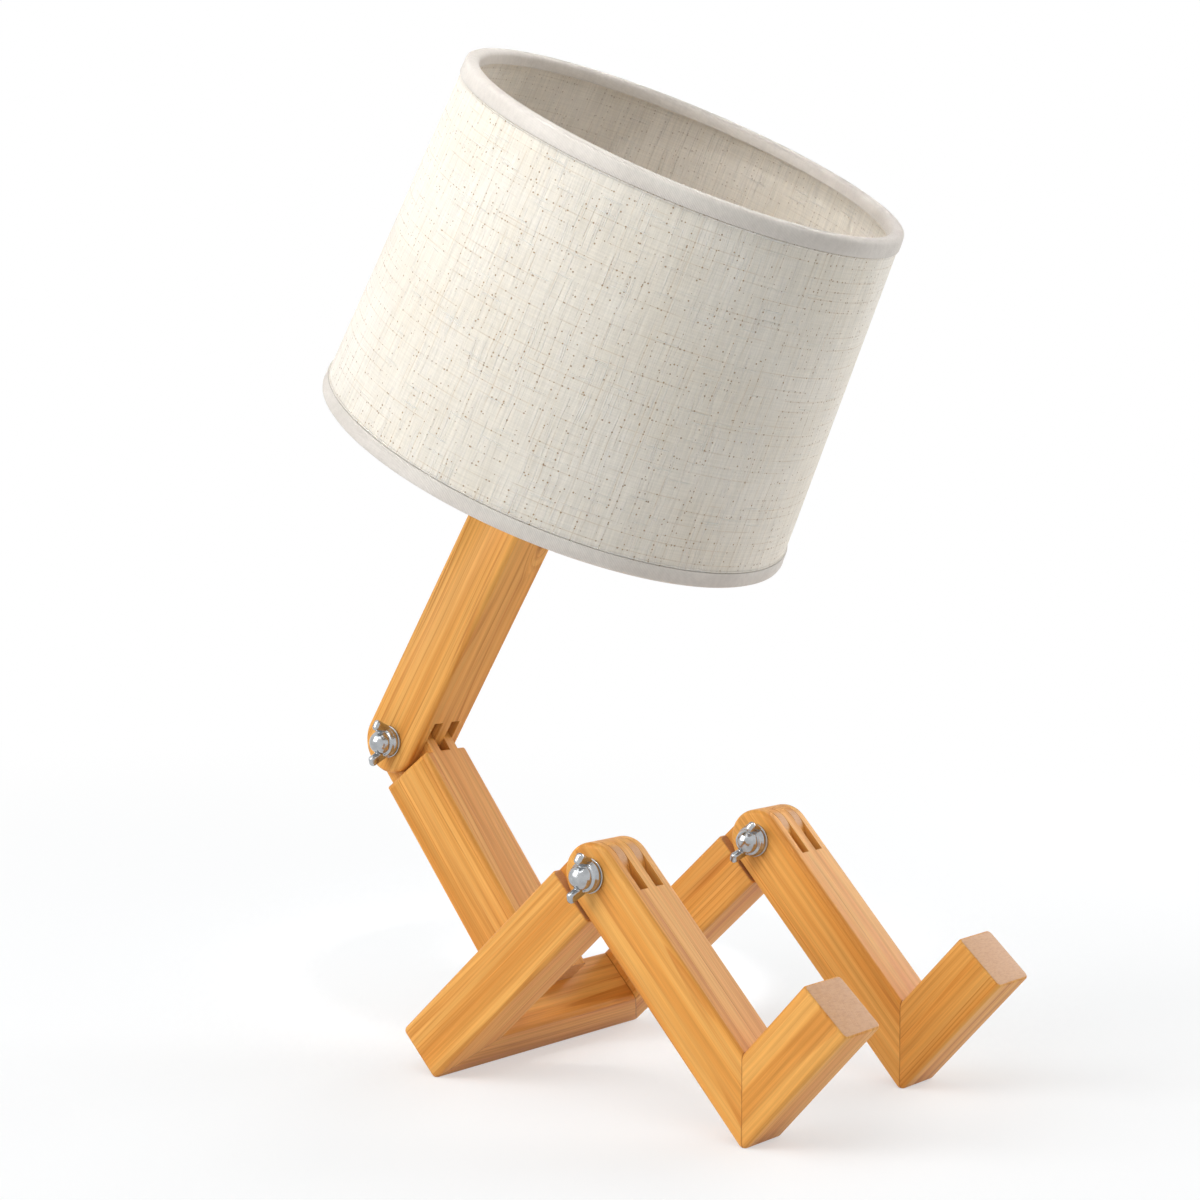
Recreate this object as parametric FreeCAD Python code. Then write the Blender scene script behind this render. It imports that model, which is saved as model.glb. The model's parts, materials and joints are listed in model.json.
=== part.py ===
import FreeCAD, Part
import math
import os

# Robot desk lamp: a wooden figure that sits on its hip rail and its two heels.
# It faces -Y, its right hand is -X and Z is up. All sizes are millimetres and degrees.
# Side-plane points are (forward, up), measured from the floor under the hip rail.

# Wooden beams
beam = 25.0  # square section of the rail, thighs and legs
torso_beam = 28.0  # square section of the spine and the neck
edge_round = 2.2  # rounding of the long edges
corner_round = 2.6  # rounding of the outer corners at the mitres
end_round = 1.0  # rounding round a cut end
frame_width = 138.0  # over both thighs
floor_flat = 0.25  # depth sanded off the three rounded edges that stand on the floor
thigh_length = 108.0  # hip rail's lower edge to the knee shoulder
thigh_angle = 44.5  # thigh above the floor
shin_length = 119.0  # knee pin to the heel, along the shin
foot_length = 66.5  # heel to toe, along the sole
heel_angle = 85.0  # between shin and foot
spine_setback = 2.1  # spine's centre line behind the hip rail's inner top edge
spine_length = 118.8  # top face of the hip rail to the waist pin
spine_angle = 84.6  # between thighs and spine
spine_lap = 8.0  # how far the spine's front half laps down over the hip rail
waist_angle = 110.9  # between spine and neck
neck_length = 138.0  # waist pin to the neck's top end

# Finger hinges: three fingers on one beam take two tongues of the other
knuckle_count = 5  # fingers and tongues together fill one beam width
tongue_gap = 0.25  # each side of a tongue
shoulder_gap = 1.0  # between a round end and the shoulder that faces it
slot_margin = 3.5  # shoulder's reach from the pin to the flat bottom of a slot
shoulder_round = 0.8

# Carriage bolts, washers and domed wing nuts
bolt_radius = 3.0
running_gap = 0.08  # radial clearance of every turning fit
bolt_head_radius = 7.0
bolt_head_height = 3.2
bolt_square = 6.0
bolt_square_depth = 3.6
square_gap = 0.1
thread_engagement = 5.0  # bolt length inside the nut
washer_radius = 7.6
washer_thickness = 1.2
flange_radius = 7.0
flange_height = 2.2
collar_radius = 6.0
collar_height = 1.3
dome_radius = 5.0
nut_height = 8.8
wing_reach = 7.6  # nut axis to the centre of a wing's round tip
wing_rise = 8.4  # washer face to the centre of a wing's round tip
wing_root_reach = 4.4
wing_root_rise = 2.8
wing_width = 4.2
wing_thickness = 3.2
wing_edge_round = 0.6
waist_wing_angle = 82.0  # wing direction above forward
right_wing_angle = 77.0
left_wing_angle = 60.0

# Screws that hold the spine to the hip rail
screw_radius = 2.0
screw_length = 34.0
screw_head_radius = 4.0
screw_head_depth = 2.4
screw_spacing = 12.0
screw_drop = 4.0  # below the hip rail's top face
screw_slot_width = 1.0
screw_slot_depth = 1.0

# Drum shade on its wire spider
shade_base = 144.8  # waist pin to the shade's lower edge, along the neck
shade_height = 146.0
shade_base_radius = 102.4
shade_top_radius = 93.7
shade_cant = 4.0  # how far the bent arms let the shade lean back from the neck's axis
cant_rise = 102.0  # shade's lower edge to the point where both axes cross
fabric_thickness = 0.7
lining_thickness = 0.5
glue_gap = 0.3
trim_thickness = 0.5
trim_height = 6.0
trim_inner_height = 4.6
trim_gap = 0.15
weld_gap = 0.05
wire_radius = 1.4
arm_count = 3
arm_radius = 1.5
arm_slit_gap = 0.3
first_arm_angle = 90.0
fitter_inner_radius = 20.6
fitter_outer_radius = 26.0
fitter_thickness = 2.0

# Lampholder, screwed to the neck's top end on a threaded tube
nipple_radius = 5.0
nipple_bore = 3.6
nipple_depth = 20.0  # into the neck
nipple_stand = 11.0  # above the neck
nipple_nut_width = 14.0
nipple_nut_thickness = 4.0
holder_radius = 19.8
holder_wall = 1.6
cap_foot_radius = 12.0
cap_slope = 6.0
cap_floor = 3.0
cap_height = 20.0
spigot_height = 7.0
spigot_gap = 0.2
seat_rise = 7.0  # cap rim to the seat of the shade's fitter
seat_radius = 22.5
seat_thickness = 3.0
barrel_rise = 30.0  # cap rim to the barrel's mouth
barrel_inner_radius = 15.4
barrel_thread_depth = 0.5
barrel_thread_pitch = 2.5
barrel_thread_count = 9
ring_nut_radius = 28.0
ring_nut_height = 6.0
ring_nut_gap = 0.15
ring_nut_flute_count = 24
ring_nut_flute_radius = 1.4
core_radius = 15.1
core_height = 13.0
core_pocket_radius = 9.0
core_pocket_depth = 4.0
cord_outlet_radius = 2.9

# Lamp screw thread, shown as rounded ridges
screw_shell_radius = 13.6
screw_shell_wall = 0.5
screw_shell_floor = 1.0
screw_shell_ridge_count = 5
ridge_depth = 0.5
ridge_pitch = 3.6
contact_width = 6.0
contact_thickness = 0.5
contact_length = 14.0
contact_rise = 5.4

# Bulb
bulb_gap = 0.35  # bulb cap to the screw shell
bulb_tip_radius = 4.6
bulb_tip_height = 1.6
bulb_tip_clearance = 0.3
bulb_collar_radius = 9.0
bulb_collar_height = 2.4
bulb_cap_height = 20.0
bulb_ridge_count = 4
skipped_ridge_count = 2  # shell ridges below the cap's first one
bulb_neck_radius = 14.6
bulb_neck_height = 3.0
bulb_body_height = 27.0
bulb_radius = 27.0
bulb_globe_wall = 1.2
bulb_globe_height = 36.0

# Turn switch in the lampholder's cap
switch_rise = 10.2  # neck end to the switch axis
stem_radius = 2.4
stem_inner_reach = 16.4
knob_reach = 24.0
knob_length = 10.0
knob_radius = 5.4
knob_rib_count = 12
knob_rib_radius = 0.7


def direction(angle):
    """Unit side-plane direction at an angle above forward."""
    return (math.cos(math.radians(angle)), math.sin(math.radians(angle)))


def left_of(way):
    """Side-plane direction a quarter turn to the left."""
    return (-way[1], way[0])


def step(point, way, distance):
    """Side-plane point a distance away."""
    return (point[0] + way[0] * distance, point[1] + way[1] * distance)


def setback(section):
    """Distance from a hinge pin to the shoulder that its round end faces."""
    return section / 2 + shoulder_gap


# Side-plane layout, worked out from the floor up
thigh_way = direction(thigh_angle)
frame_up = left_of(thigh_way)
edge_ease = edge_round * (thigh_way[0] + thigh_way[1] - 1.0)
hip_edge = (0.0, -edge_ease - floor_flat)
heel_ease = corner_round * (1.0 / math.sin(math.radians(heel_angle / 2)) - 1.0)
knee_pin = step(step(hip_edge, thigh_way, thigh_length + setback(beam)), frame_up, beam / 2)
heel_reach = math.hypot(shin_length, beam / 2)
shin_angle = math.degrees(
    math.asin((knee_pin[1] + heel_ease + floor_flat) / heel_reach)
    - math.atan2(beam / 2, shin_length)
)
foot_angle = 180.0 - heel_angle - shin_angle
shin_way = direction(-shin_angle)
shin_front = left_of(shin_way)
foot_way = direction(foot_angle)
foot_top = left_of(foot_way)
heel = step(step(knee_pin, shin_way, shin_length), shin_front, -beam / 2)
toe = step(heel, foot_way, foot_length)
hip_corner = step(step(hip_edge, thigh_way, beam), frame_up, beam)
spine_way = direction(thigh_angle + spine_angle)
spine_foot = step(hip_corner, thigh_way, -spine_setback)
waist_pin = step(spine_foot, spine_way, spine_length)
neck_angle = thigh_angle + spine_angle - 180.0 + waist_angle
neck_way = direction(neck_angle)
shade_way = direction(neck_angle + shade_cant)

# Forward and rear reach set where the hip rail stands, so that the lamp is centred on Y
toe_ease = end_round * (foot_way[0] + foot_way[1] - 1.0)
front_reach = toe[0] - toe_ease
shade_centre = step(step(waist_pin, neck_way, shade_base + cant_rise), shade_way, -cant_rise)
rim_radius = shade_base_radius + trim_gap + trim_thickness
rim_drop = trim_gap + trim_thickness
rear_reach = rim_radius * shade_way[1] + rim_drop * shade_way[0] - shade_centre[0]
hip_y = (front_reach - rear_reach) / 2


def place(x, point):
    """Side-plane point at a distance x from the middle, as a point in space."""
    return FreeCAD.Vector(x, hip_y - point[0], point[1])


def space(way):
    """Side-plane direction as a direction in space."""
    return FreeCAD.Vector(0, -way[0], way[1])


def slab(points, x, width):
    """Side-plane polygon drawn across a width centred on x."""
    corners = [place(x - width / 2, point) for point in points]
    outline = Part.makePolygon(corners + corners[:1])
    return Part.Face(outline).extrude(FreeCAD.Vector(width, 0, 0))


def bar(start, way, length, x, width, depth):
    """Straight bar whose centre line runs from start along way."""
    side = left_of(way)
    near = step(start, side, -depth / 2)
    far = step(start, side, depth / 2)
    return slab([near, step(near, way, length), step(far, way, length), far], x, width)


def round_ended(pin, way, length, x, width, depth):
    """Bar with a half-round end about its hinge pin."""
    disc = Part.makeCylinder(depth / 2, width, place(x - width / 2, pin), FreeCAD.Vector(1, 0, 0))
    return bar(pin, way, length, x, width, depth).fuse(disc).removeSplitter()


def soften(solid, radius, wanted):
    """Round the edges for which wanted(edge) holds."""
    edges = [edge for edge in solid.Edges if wanted(edge)]
    return solid.makeFillet(radius, edges)


def on_sides(x, section):
    """Edges that run along either side face of a beam centred on x."""

    def wanted(edge):
        box = edge.BoundBox
        flat = box.XLength < 0.01
        return flat and abs(abs(box.XMin - x) - section / 2) < 0.01

    return wanted


def on_plane(point, normal):
    """Edges that lie in a plane."""

    def wanted(edge):
        ends = [edge.valueAt(edge.FirstParameter), edge.valueAt(edge.LastParameter)]
        middle = edge.valueAt((edge.FirstParameter + edge.LastParameter) / 2)
        return all(abs((end - point).dot(normal)) < 0.01 for end in ends + [middle])

    return wanted


def beyond(point, normal):
    """Block that fills the space on the far side of a plane."""
    size = 4 * (frame_width + thigh_length)
    turn = FreeCAD.Rotation(FreeCAD.Vector(0, 0, 1), normal)
    block = Part.makeBox(size, size, size, FreeCAD.Vector(-size / 2, -size / 2, 0))
    block.Placement = FreeCAD.Placement(point, turn)
    return block


def below_floor():
    """Everything under the floor, which the standing edges are sanded down to."""
    return beyond(FreeCAD.Vector(0, 0, 0), FreeCAD.Vector(0, 0, -1))


def pin_bore(pin, x, section):
    """Cutter for the hinge bolt's hole across one beam."""
    start = place(x - section, pin)
    return Part.makeCylinder(bolt_radius + running_gap, 2 * section, start, FreeCAD.Vector(1, 0, 0))


def with_fingers(solid, pin, way, x, section):
    """Cut two open slots and the bolt holes, so that three fingers stay."""
    back = step(pin, way, -section)
    knuckle = section / knuckle_count
    reach = section + setback(section) + slot_margin
    for offset in (-knuckle, knuckle):
        solid = solid.cut(bar(back, way, reach, x + offset, knuckle, section))
    solid = solid.cut(pin_bore(pin, x, section))
    square = bolt_square + 2 * square_gap
    depth = bolt_square_depth + square_gap
    start = place(x + section / 2 - depth, pin) - FreeCAD.Vector(0, square / 2, square / 2)
    socket = Part.makeBox(depth, square, square, start)
    return solid.cut(socket)


def with_tongues(solid, pin, way, x, section):
    """Add two round-ended tongues that reach from the shoulder to the hinge pin."""
    knuckle = section / knuckle_count
    tongue = knuckle - 2 * tongue_gap
    for offset in (-knuckle, knuckle):
        solid = solid.fuse(round_ended(pin, way, section, x + offset, tongue, section))
    return solid.cut(pin_bore(pin, x, section)).removeSplitter()


# Hips and thighs: one rounded U, cut at its mitres into a rail and two thighs
rail_x = frame_width / 2
thigh_x = rail_x - beam / 2


def seat_frame():
    """The whole U, lying in the plane of the thighs."""
    corners = []
    for x, along in (
        (-rail_x, 0),
        (rail_x, 0),
        (rail_x, thigh_length),
        (rail_x - beam, thigh_length),
        (rail_x - beam, beam),
        (beam - rail_x, beam),
        (beam - rail_x, thigh_length),
        (-rail_x, thigh_length),
    ):
        corners.append(place(x, step(hip_edge, thigh_way, along)))
    outline = Part.makePolygon(corners + corners[:1])
    solid = Part.Face(outline).extrude(space(frame_up) * beam)
    rear = on_plane(place(0, hip_edge), space(thigh_way))
    solid = soften(
        solid, corner_round, lambda edge: rear(edge) and edge.BoundBox.XLength < 0.01
    )
    under = on_plane(place(0, hip_edge), space(frame_up))
    over = on_plane(place(0, step(hip_edge, frame_up, beam)), space(frame_up))
    shoulder_point = place(0, step(hip_edge, thigh_way, thigh_length))
    shoulder = on_plane(shoulder_point, space(thigh_way))
    solid = soften(
        solid, edge_round, lambda edge: (under(edge) or over(edge)) and not shoulder(edge)
    )
    solid = soften(solid, shoulder_round, shoulder)
    return solid.cut(below_floor())


def past_mitre(side, toward_thigh):
    """Everything on the thigh's or on the rail's side of their mitre."""
    corner = place(side * rail_x, hip_edge)
    normal = space(thigh_way) + FreeCAD.Vector(side, 0, 0)
    sign = 1.0 if toward_thigh else -1.0
    return beyond(corner, normal.normalize().multiply(sign))


def hip_rail(frame):
    rail = frame
    for side in (-1, 1):
        rail = rail.cut(past_mitre(side, True))
    for screw_x in (-screw_spacing / 2, screw_spacing / 2):
        rail = rail.cut(hip_screw(screw_x, running_gap))
    return rail


def thigh(frame, side):
    outside = beyond(place(0, hip_edge), FreeCAD.Vector(side, 0, 0))
    solid = frame.common(past_mitre(side, True)).common(outside)
    back = (-thigh_way[0], -thigh_way[1])
    return with_tongues(solid, knee_pin, back, side * thigh_x, beam)


# Legs: one rounded L, cut at its mitre into a shin and a foot
def leg(side):
    x = side * thigh_x
    shin_part = round_ended(knee_pin, shin_way, shin_length + 2 * beam, x, beam, beam)
    shin_part = shin_part.cut(past_heel(side, True))
    start = step(step(heel, foot_top, beam / 2), foot_way, -2 * beam)
    foot_part = bar(start, foot_way, foot_length + 2 * beam, x, beam, beam)
    foot_part = foot_part.cut(past_heel(side, False))
    solid = shin_part.fuse(foot_part).removeSplitter()
    corner = on_plane(place(x, heel), space(left_of(heel_normal())))
    solid = soften(
        solid,
        corner_round,
        lambda edge: corner(edge) and edge.BoundBox.ZMax < beam / 2,
    )
    sides = on_sides(x, beam)
    toe_end = on_plane(place(x, toe), space(foot_way))
    solid = soften(solid, edge_round, lambda edge: sides(edge) and not toe_end(edge))
    solid = soften(solid, end_round, toe_end)
    return solid.cut(below_floor())


def heel_normal():
    """Side-plane normal of the heel mitre, pointing from the shin to the foot."""
    return direction((foot_angle - shin_angle) / 2)


def past_heel(side, toward_foot):
    """Everything on the foot's or on the shin's side of their mitre."""
    sign = 1.0 if toward_foot else -1.0
    return beyond(place(side * thigh_x, heel), space(heel_normal()) * sign)


def shin(whole_leg, side):
    solid = whole_leg.cut(past_heel(side, True))
    return with_fingers(solid, knee_pin, shin_way, side * thigh_x, beam)


def foot(whole_leg, side):
    return whole_leg.common(past_heel(side, True))


# Spine: it sits on the hip rail and laps over the rail's inner face
def hip_screw(x, gap=0.0):
    """Countersunk wood screw through the hip rail into the spine's lap."""
    head = step(step(hip_edge, frame_up, beam - screw_drop), thigh_way, 0)
    axis = space(thigh_way)
    shank = Part.makeCylinder(screw_radius + gap, screw_length, place(x, head), axis)
    cone = Part.makeCone(
        screw_head_radius + gap, screw_radius + gap, screw_head_depth, place(x, head), axis
    )
    return shank.fuse(cone)


def hip_screws():
    """Both screws, each with a driving slot in its head."""
    screws = []
    head = step(hip_edge, frame_up, beam - screw_drop)
    for x in (-screw_spacing / 2, screw_spacing / 2):
        low = step(head, frame_up, -screw_slot_width / 2)
        high = step(head, frame_up, screw_slot_width / 2)
        points = [
            step(low, thigh_way, -1),
            step(low, thigh_way, screw_slot_depth),
            step(high, thigh_way, screw_slot_depth),
            step(high, thigh_way, -1),
        ]
        slot = slab(points, x, 2 * screw_head_radius)
        screws.append(hip_screw(x).cut(slot))
    return Part.makeCompound(screws)


def spine():
    gap = setback(torso_beam)
    start = step(spine_foot, spine_way, -torso_beam)
    solid = bar(start, spine_way, spine_length + torso_beam - gap, 0, torso_beam, torso_beam)
    solid = soften(solid, edge_round, on_sides(0, torso_beam))
    shoulder = place(0, step(waist_pin, spine_way, -gap))
    solid = soften(solid, shoulder_round, on_plane(shoulder, space(spine_way)))
    low = step(hip_corner, frame_up, -spine_lap)
    solid = solid.cut(beyond(place(0, low), space(frame_up).multiply(-1)))
    rail = slab(
        [
            step(hip_edge, thigh_way, -beam),
            step(hip_edge, thigh_way, beam),
            hip_corner,
            step(hip_corner, thigh_way, -2 * beam),
        ],
        0,
        2 * torso_beam,
    )
    solid = solid.cut(rail)
    for x in (-screw_spacing / 2, screw_spacing / 2):
        solid = solid.cut(hip_screw(x, running_gap))
    back = (-spine_way[0], -spine_way[1])
    return with_tongues(solid, waist_pin, back, 0, torso_beam)


# Hinge hardware, drawn with its axis on +Z from the wood's face, then laid along -X
def lay_on(shape, pin, x):
    """Turn a part's +Z to -X and set it on a beam's face at a hinge pin."""
    lie_down = FreeCAD.Rotation(FreeCAD.Vector(0, 1, 0), -90)
    shape.Placement = FreeCAD.Placement(place(x, pin), lie_down).multiply(shape.Placement)
    return shape


def spin(points):
    """Solid of revolution about Z from (radius, height) points."""
    corners = [FreeCAD.Vector(radius, 0, height) for radius, height in points]
    outline = Part.makePolygon(corners + corners[:1])
    return Part.Face(outline).revolve(
        FreeCAD.Vector(0, 0, 0), FreeCAD.Vector(0, 0, 1), 360
    )


def cap_of_sphere(radius, height):
    """Low dome of a given rim radius and height, standing on z = 0."""
    ball = (radius * radius + height * height) / (2 * height)
    sphere = Part.makeSphere(ball, FreeCAD.Vector(0, 0, height - ball))
    keep = Part.makeCylinder(radius, height)
    return sphere.common(keep)


def hinge_bolt(pin, x, section):
    """Carriage bolt: domed head, square neck in the wood, shank up to the nut."""
    head = cap_of_sphere(bolt_head_radius, bolt_head_height)
    head.Placement = FreeCAD.Placement(
        FreeCAD.Vector(0, 0, -section), FreeCAD.Rotation(FreeCAD.Vector(1, 0, 0), 180)
    )
    neck = Part.makeBox(
        bolt_square,
        bolt_square,
        bolt_square_depth,
        FreeCAD.Vector(-bolt_square / 2, -bolt_square / 2, -section),
    )
    length = section + washer_thickness + thread_engagement
    shank = Part.makeCylinder(bolt_radius, length, FreeCAD.Vector(0, 0, -section))
    return lay_on(head.fuse(neck).fuse(shank), pin, x)


def hinge_washer(pin, x):
    ring = Part.makeCylinder(washer_radius, washer_thickness)
    ring = ring.cut(Part.makeCylinder(bolt_radius + running_gap, washer_thickness))
    return lay_on(ring, pin, x)


def wing():
    """One flared wing with a round tip, in the XZ plane."""
    root = FreeCAD.Vector(wing_root_reach, -wing_thickness / 2, wing_root_rise)
    tip = FreeCAD.Vector(wing_reach, -wing_thickness / 2, wing_rise)
    along = (tip - root).normalize()
    across = FreeCAD.Vector(-along.z, 0, along.x) * (wing_width / 2)
    corners = [root - across, tip - across, tip + across, root + across]
    plate = Part.Face(Part.makePolygon(corners + corners[:1]))
    plate = plate.extrude(FreeCAD.Vector(0, wing_thickness, 0))
    end = Part.makeCylinder(wing_width / 2, wing_thickness, tip, FreeCAD.Vector(0, 1, 0))
    blade = plate.fuse(end).removeSplitter()
    return soften(
        blade,
        wing_edge_round,
        lambda edge: edge.BoundBox.YLength < 0.01 and edge.BoundBox.ZMax > wing_root_rise + 2,
    )


def wing_nut(pin, x, wing_angle):
    """Domed wing nut: flange, collar, blind dome and two wings."""
    flange = spin(
        [
            (0, 0),
            (flange_radius, 0),
            (flange_radius, flange_height * 0.45),
            (collar_radius, flange_height),
            (collar_radius, flange_height + collar_height),
            (dome_radius, flange_height + collar_height),
            (0, flange_height + collar_height),
        ]
    )
    dome_start = flange_height + collar_height - 0.2
    dome = cap_of_sphere(dome_radius, nut_height - dome_start)
    dome.translate(FreeCAD.Vector(0, 0, dome_start))
    nut = flange.fuse(dome)
    blade = wing()
    other = blade.copy()
    other.rotate(FreeCAD.Vector(0, 0, 0), FreeCAD.Vector(0, 0, 1), 180)
    nut = nut.fuse([blade, other])
    bore = Part.makeCylinder(bolt_radius + running_gap, thread_engagement + 0.4)
    nut = nut.cut(bore)
    nut.translate(FreeCAD.Vector(0, 0, washer_thickness))
    nut = lay_on(nut, pin, x)
    nut.rotate(place(x, pin), FreeCAD.Vector(-1, 0, 0), wing_angle - 90.0)
    return nut


# Head: parts drawn about Z, with z = 0 at the waist pin, then leaned with the neck
def on_neck(shape):
    """Lean a part that was drawn about Z into the neck's own axis."""
    lean = FreeCAD.Rotation(FreeCAD.Vector(1, 0, 0), 90.0 - neck_angle)
    shape.Placement = FreeCAD.Placement(place(0, waist_pin), lean).multiply(shape.Placement)
    return shape


def neck():
    solid = round_ended(waist_pin, neck_way, neck_length, 0, torso_beam, torso_beam)
    solid = soften(solid, edge_round, on_sides(0, torso_beam))
    top = place(0, step(waist_pin, neck_way, neck_length))
    solid = soften(solid, end_round, on_plane(top, space(neck_way)))
    solid = with_fingers(solid, waist_pin, neck_way, 0, torso_beam)
    bore = Part.makeCylinder(
        nipple_radius + square_gap,
        nipple_depth + 1,
        place(0, step(waist_pin, neck_way, neck_length - nipple_depth - 0.3)),
        space(neck_way),
    )
    return solid.cut(bore)


cap_rim = neck_length + cap_height
seat = cap_rim + seat_rise
core_top = cap_rim + 5.0
tip_base = core_top - core_pocket_depth + contact_rise + bulb_tip_clearance


def ridged(radius, start, count, pitch, depth):
    """Outline points of a number of thread ridges, from start upward."""
    points = []
    for turn in range(count):
        low = start + turn * pitch
        points.append((radius - depth, low))
        points.append((radius, low + 0.35 * pitch))
        points.append((radius, low + 0.65 * pitch))
    points.append((radius - depth, start + count * pitch))
    return points


def lamp_nipple():
    low = neck_length - nipple_depth
    tube = Part.makeCylinder(nipple_radius, nipple_depth + nipple_stand, FreeCAD.Vector(0, 0, low))
    bore = Part.makeCylinder(nipple_bore, nipple_depth + nipple_stand, FreeCAD.Vector(0, 0, low))
    return on_neck(tube.cut(bore))


def nipple_nut():
    corner = nipple_nut_width / math.sqrt(3)
    corners = []
    for side in range(7):
        angle = math.radians(60 * side)
        corners.append(
            FreeCAD.Vector(
                corner * math.cos(angle), corner * math.sin(angle), neck_length + cap_floor
            )
        )
    nut = Part.Face(Part.makePolygon(corners)).extrude(
        FreeCAD.Vector(0, 0, nipple_nut_thickness)
    )
    hole = Part.makeCylinder(
        nipple_radius + square_gap,
        nipple_nut_thickness,
        FreeCAD.Vector(0, 0, neck_length + cap_floor),
    )
    return on_neck(nut.cut(hole))


def holder_cap():
    inner = holder_radius - holder_wall
    cap = spin(
        [
            (nipple_radius + square_gap, neck_length),
            (cap_foot_radius, neck_length),
            (holder_radius, neck_length + cap_slope),
            (holder_radius, cap_rim),
            (inner, cap_rim),
            (inner, neck_length + cap_slope + 1),
            (cap_foot_radius - 1, neck_length + cap_floor),
            (nipple_radius + square_gap, neck_length + cap_floor),
        ]
    )
    stem_hole = Part.makeCylinder(
        stem_radius + running_gap,
        holder_radius,
        FreeCAD.Vector(0, 0, neck_length + switch_rise),
        FreeCAD.Vector(1, 0, 0),
    )
    outlet = Part.makeCylinder(
        cord_outlet_radius,
        holder_radius,
        FreeCAD.Vector(0, 0, neck_length + switch_rise),
        FreeCAD.Vector(0, 1, 0),
    )
    keep = Part.makeCylinder(inner - 3, 2 * cap_height, FreeCAD.Vector(0, 0, neck_length))
    return on_neck(cap.cut(stem_hole.cut(keep)).cut(outlet.cut(keep)))


def holder_barrel():
    """Threaded barrel with the seat that carries the shade's fitter."""
    spigot = holder_radius - holder_wall - spigot_gap
    thread = ridged(
        holder_radius, seat, barrel_thread_count, barrel_thread_pitch, barrel_thread_depth
    )
    outline = [
        (barrel_inner_radius, cap_rim - spigot_height),
        (spigot, cap_rim - spigot_height),
        (spigot, cap_rim),
        (holder_radius, cap_rim),
        (holder_radius, seat - seat_thickness),
        (seat_radius, seat - seat_thickness),
        (seat_radius, seat),
    ]
    outline += thread
    outline.append((holder_radius - barrel_thread_depth, cap_rim + barrel_rise))
    outline.append((barrel_inner_radius, cap_rim + barrel_rise))
    return on_neck(spin(outline))


def holder_core():
    """Insulating core that carries the contacts."""
    low = core_top - core_height
    core = Part.makeCylinder(core_radius, core_height, FreeCAD.Vector(0, 0, low))
    pocket = Part.makeCylinder(
        core_pocket_radius, core_pocket_depth, FreeCAD.Vector(0, 0, core_top - core_pocket_depth)
    )
    passage = Part.makeCylinder(2.0, core_height, FreeCAD.Vector(0, 5.5, low))
    return on_neck(core.cut(pocket).cut(passage))


def screw_shell():
    """Brass thread that takes the bulb."""
    floor = core_top + screw_shell_floor
    crest = screw_shell_radius + ridge_depth
    ridges = ridged(crest, floor, screw_shell_ridge_count, ridge_pitch, ridge_depth)
    outside = [(radius + screw_shell_wall, height) for radius, height in ridges]
    foot = screw_shell_radius - 1.6
    outline = [(foot, core_top), (screw_shell_radius + 1, core_top)] + outside
    outline += list(reversed(ridges)) + [(foot, floor)]
    return on_neck(spin(outline))


def centre_contact():
    """Bent brass strip under the bulb's tip."""
    floor = core_top - core_pocket_depth
    half = contact_length / 2
    thick = contact_thickness
    points = [
        (-half, floor),
        (half, floor),
        (half, floor + thick),
        (-half + 2.6, floor + thick),
        (2.4, floor + contact_rise - thick),
        (3.0, floor + contact_rise),
        (-1.0, floor + contact_rise),
        (-half, floor + thick + 0.6),
    ]
    corners = [FreeCAD.Vector(-contact_width / 2, y, z) for y, z in points]
    face = Part.Face(Part.makePolygon(corners + corners[:1]))
    return on_neck(face.extrude(FreeCAD.Vector(contact_width, 0, 0)))


def ring_nut():
    """Fluted ring that clamps the shade's fitter on its seat."""
    low = seat + fitter_thickness
    ring = Part.makeCylinder(ring_nut_radius, ring_nut_height, FreeCAD.Vector(0, 0, low))
    hole = Part.makeCylinder(
        holder_radius + ring_nut_gap, ring_nut_height, FreeCAD.Vector(0, 0, low)
    )
    flutes = []
    for index in range(ring_nut_flute_count):
        angle = 2 * math.pi * index / ring_nut_flute_count
        centre = FreeCAD.Vector(
            (ring_nut_radius + 0.5) * math.cos(angle), (ring_nut_radius + 0.5) * math.sin(angle), low
        )
        flutes.append(Part.makeCylinder(ring_nut_flute_radius, ring_nut_height, centre))
    return on_neck(ring.cut([hole] + flutes))


# Shade, drawn about the neck's axis and then canted back on its bent arms
def canted(shape):
    """Lean a part back about the point where the shade's axis crosses the neck's."""
    pivot = FreeCAD.Vector(0, 0, shade_base + cant_rise)
    shape.rotate(pivot, FreeCAD.Vector(1, 0, 0), -shade_cant)
    return shape


def wall_radius(height):
    """Outer radius of the shade at a height above its lower edge."""
    taper = (shade_base_radius - shade_top_radius) / shade_height
    return shade_base_radius - taper * height


def cone_wall(outer_gap, thickness, low, high):
    """Conical shell at a depth under the shade's outer face."""
    return spin(
        [
            (wall_radius(low) - outer_gap - thickness, shade_base + low),
            (wall_radius(low) - outer_gap, shade_base + low),
            (wall_radius(high) - outer_gap, shade_base + high),
            (wall_radius(high) - outer_gap - thickness, shade_base + high),
        ]
    )


wall_depth = fabric_thickness + glue_gap + lining_thickness
wire_depth = wall_depth + glue_gap + wire_radius


def wire_height(top):
    """Height of a hoop's centre above the shade's lower edge."""
    inset = wire_radius + glue_gap
    return shade_height - inset if top else inset


def hoop(top, extra=0.0):
    """Wire hoop inside one edge of the shade."""
    height = wire_height(top)
    radius = wall_radius(height) - wire_depth
    centre = FreeCAD.Vector(0, 0, shade_base + height)
    return canted(Part.makeTorus(radius, wire_radius + extra, centre))


def shade_fabric():
    return on_neck(canted(cone_wall(0, fabric_thickness, 0, shade_height)))


def shade_lining():
    low = glue_gap
    high = shade_height - glue_gap
    return on_neck(canted(cone_wall(fabric_thickness + glue_gap, lining_thickness, low, high)))


def shade_top_hoop():
    return on_neck(hoop(True))


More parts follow.
